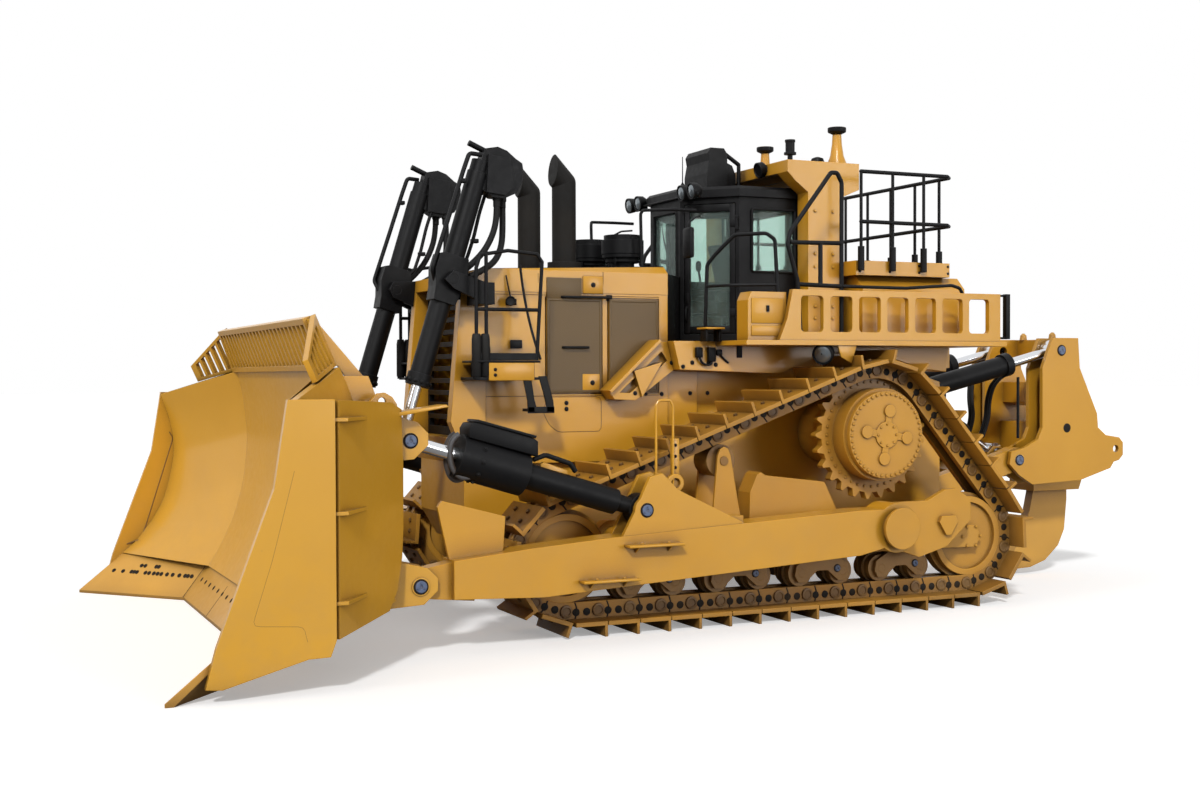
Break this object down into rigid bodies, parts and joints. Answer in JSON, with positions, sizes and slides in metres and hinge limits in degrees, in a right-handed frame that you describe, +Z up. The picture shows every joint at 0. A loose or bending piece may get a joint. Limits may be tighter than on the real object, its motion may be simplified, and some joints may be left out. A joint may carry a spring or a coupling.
{
  "type": "crawler bulldozer",
  "caption": "Large crawler bulldozer with a U-shaped blade on push arms, trunnion lift cylinders, elevated sprockets, enclosed cab and a single-shank rear ripper.",
  "frame": {"origin": "on the ground, under the middle of the machine's length, on its centreline", "axes": "+X forward, towards the blade; +Y to the machine's left; +Z up"},
  "size_m": [11.114, 6.358, 4.893],
  "materials": {
    "yellow_paint": "gloss",
    "black_paint": "satin",
    "worn_steel": "matte",
    "chrome_rod": "polished",
    "cab_glass": "clear",
    "seat_trim": "matte",
    "engine_panel": "matte"
  },
  "bodies": {
    "chassis": {"access_steps": "black_paint", "air_precleaners": "black_paint", "battery_boxes": "yellow_paint", "beacon": "black_paint", "bulkhead": "yellow_paint", "cab_glass": "cab_glass", "cab_roof": "black_paint", "cab_shell": "black_paint", "cross_shafts": "worn_steel", "dash_cowl": "black_paint", "deck_braces": "yellow_paint", "engine_block": "worn_steel", "engine_doors": "engine_panel", "exhaust_stacks": "yellow_paint", "fenders": "yellow_paint", "final_drives": "yellow_paint", "fuel_tank": "yellow_paint", "hood": "yellow_paint", "idlers": "worn_steel", "lift_brackets": "black_paint", "main_frame": "yellow_paint", "operator_seat": "seat_trim", "platform_guards": "yellow_paint", "radiator_grille": "black_paint", "radiator_guard": "yellow_paint", "rear_railing": "black_paint", "roller_bogies": "yellow_paint", "rollover_frame": "yellow_paint", "roof_cooler": "black_paint", "sprockets": "worn_steel", "tank_tray": "yellow_paint", "track_frame_left": "yellow_paint", "track_frame_right": "yellow_paint", "track_left": "worn_steel", "track_right": "worn_steel", "track_rollers": "worn_steel"},
    "push_arms": {"push_arm_left": "yellow_paint", "push_arm_right": "yellow_paint"},
    "blade": {"blade_moldboard": "yellow_paint", "cutting_edges": "worn_steel", "spill_guard": "yellow_paint"},
    "ripper_link": {"ripper_link": "yellow_paint"},
    "ripper_pins": {"ripper_pins": "worn_steel"},
    "ripper": {"ripper_beam": "yellow_paint", "ripper_shank": "worn_steel"},
    "ripper_pitch_pins": {"ripper_pitch_pins": "worn_steel"},
    "ripper_pitch_barrels": {"ripper_pitch_barrels": "black_paint"},
    "ripper_pitch_rods": {"ripper_pitch_rods": "chrome_rod"},
    "ripper_lift_barrels": {"ripper_lift_barrels": "black_paint"},
    "ripper_lift_rods": {"ripper_lift_rods": "chrome_rod"},
    "blade_lift_barrel_left": {"blade_lift_barrel_left": "black_paint"},
    "blade_lift_rod_left": {"blade_lift_rod_left": "chrome_rod"},
    "blade_tilt_barrel_left": {"blade_tilt_barrel_left": "black_paint"},
    "blade_tilt_rod_left": {"blade_tilt_rod_left": "chrome_rod"},
    "cab_door_left": {"cab_door_left": "black_paint"},
    "blade_lift_barrel_right": {"blade_lift_barrel_right": "black_paint"},
    "blade_lift_rod_right": {"blade_lift_rod_right": "chrome_rod"},
    "blade_tilt_barrel_right": {"blade_tilt_barrel_right": "black_paint"},
    "blade_tilt_rod_right": {"blade_tilt_rod_right": "chrome_rod"},
    "cab_door_right": {"cab_door_right": "black_paint"}
  },
  "joints": [
    {"name": "blade_lift", "type": "hinge", "parent": "chassis", "child": "push_arms", "pos_m": [-1.31, 0, 0.88], "axis": [0, -1, 0], "range_deg": [-7.4, 14.5]},
    {"name": "blade_pitch", "type": "hinge", "parent": "push_arms", "child": "blade", "pos_m": [3.387, 0, 0.605], "axis": [0, -1, 0], "range_deg": [-5, 5]},
    {"name": "blade_lift_barrel_left_swing", "type": "hinge", "parent": "chassis", "child": "blade_lift_barrel_left", "pos_m": [2.713, 0.88, 3.2], "axis": [0, -1, 0], "range_deg": [-4.67, 8.97]},
    {"name": "blade_lift_rod_left_slide", "type": "slide", "parent": "blade_lift_barrel_left", "child": "blade_lift_rod_left", "axis": [0.2888, 0, -0.9574], "range_m": [-1.1562, 0.5925]},
    {"name": "blade_tilt_barrel_left_swing", "type": "hinge", "parent": "push_arms", "child": "blade_tilt_barrel_left", "pos_m": [1.323, 2.04, 1.149], "axis": [0, -1, 0], "range_deg": [-1.14, 1.14]},
    {"name": "blade_tilt_rod_left_slide", "type": "slide", "parent": "blade_tilt_barrel_left", "child": "blade_tilt_rod_left", "axis": [0.9568, 0, 0.2907], "range_m": [-0.1027, 0.1027]},
    {"name": "blade_lift_barrel_right_swing", "type": "hinge", "parent": "chassis", "child": "blade_lift_barrel_right", "pos_m": [2.713, -0.88, 3.2], "axis": [0, -1, 0], "range_deg": [-4.67, 8.97]},
    {"name": "blade_lift_rod_right_slide", "type": "slide", "parent": "blade_lift_barrel_right", "child": "blade_lift_rod_right", "axis": [0.2888, 0, -0.9574], "range_m": [-1.1562, 0.5925]},
    {"name": "blade_tilt_barrel_right_swing", "type": "hinge", "parent": "push_arms", "child": "blade_tilt_barrel_right", "pos_m": [1.323, -2.04, 1.149], "axis": [0, -1, 0], "range_deg": [-1.14, 1.14]},
    {"name": "blade_tilt_rod_right_slide", "type": "slide", "parent": "blade_tilt_barrel_right", "child": "blade_tilt_rod_right", "axis": [0.9568, 0, 0.2907], "range_m": [-0.1027, 0.1027]},
    {"name": "ripper_lift", "type": "hinge", "parent": "chassis", "child": "ripper_link", "pos_m": [-2.26, 0, 0.9], "axis": [0, 1, 0], "range_deg": [-22, 12]},
    {"name": "ripper_pins_turn", "type": "hinge", "parent": "ripper_link", "child": "ripper_pins", "pos_m": [-4.057, 0, 1.374], "axis": [0, 1, 0], "range_deg": [-12.2, 22.2]},
    {"name": "ripper_pitch", "type": "hinge", "parent": "ripper_pins", "child": "ripper", "pos_m": [-4.057, 0, 1.374], "axis": [0, 1, 0], "range_deg": [-8, 8]},
    {"name": "ripper_pitch_pins_turn", "type": "hinge", "parent": "chassis", "child": "ripper_pitch_pins", "pos_m": [-2.71, 0, 2.13], "axis": [0, 1, 0], "range_deg": [-20.67, 11.37]},
    {"name": "ripper_pitch_barrels_swing", "type": "hinge", "parent": "ripper_pitch_pins", "child": "ripper_pitch_barrels", "pos_m": [-2.71, 0, 2.13], "axis": [0, 1, 0], "range_deg": [-3.66, 3.66]},
    {"name": "ripper_pitch_rods_slide", "type": "slide", "parent": "ripper_pitch_barrels", "child": "ripper_pitch_rods", "axis": [-0.9719, 0, 0.2355], "range_m": [-0.1517, 0.1517]},
    {"name": "ripper_lift_barrels_swing", "type": "hinge", "parent": "chassis", "child": "ripper_lift_barrels", "pos_m": [-2.7, 0, 2.2], "axis": [0, 1, 0], "range_deg": [-17.7, 9.74]},
    {"name": "ripper_lift_rods_slide", "type": "slide", "parent": "ripper_lift_barrels", "child": "ripper_lift_rods", "axis": [-0.8662, 0, -0.4997], "range_m": [-0.2803, 0.5097]},
    {"name": "cab_door_left_swing", "type": "hinge", "parent": "chassis", "child": "cab_door_left", "pos_m": [-0.36124, 0.79266, 3.35], "axis": [0, 0, 1], "range_deg": [0, 110]},
    {"name": "cab_door_right_swing", "type": "hinge", "parent": "chassis", "child": "cab_door_right", "pos_m": [-0.36124, -0.79266, 3.35], "axis": [0, 0, -1], "range_deg": [0, 110]}
  ],
  "couplings": [
    {"joint": "blade_lift_barrel_left_swing", "follows": "blade_lift", "ratio": 0.60455},
    {"joint": "blade_lift_rod_left_slide", "follows": "blade_lift", "m_per_rad": -4.5489},
    {"joint": "blade_tilt_barrel_left_swing", "follows": "blade_pitch", "ratio": 0.18812},
    {"joint": "blade_tilt_rod_left_slide", "follows": "blade_pitch", "m_per_rad": -1.1197},
    {"joint": "blade_lift_barrel_right_swing", "follows": "blade_lift", "ratio": 0.60455},
    {"joint": "blade_lift_rod_right_slide", "follows": "blade_lift", "m_per_rad": -4.5489},
    {"joint": "blade_tilt_barrel_right_swing", "follows": "blade_pitch", "ratio": 0.18812},
    {"joint": "blade_tilt_rod_right_slide", "follows": "blade_pitch", "m_per_rad": -1.1197},
    {"joint": "ripper_pins_turn", "follows": "ripper_lift", "ratio": -1},
    {"joint": "ripper_pitch_pins_turn", "follows": "ripper_lift", "ratio": 0.93048},
    {"joint": "ripper_pitch_barrels_swing", "follows": "ripper_pitch", "ratio": 0.43287},
    {"joint": "ripper_pitch_rods_slide", "follows": "ripper_pitch", "m_per_rad": -1.051},
    {"joint": "ripper_lift_barrels_swing", "follows": "ripper_lift", "ratio": 0.79537},
    {"joint": "ripper_lift_rods_slide", "follows": "ripper_lift", "m_per_rad": -1.3144}
  ]
}
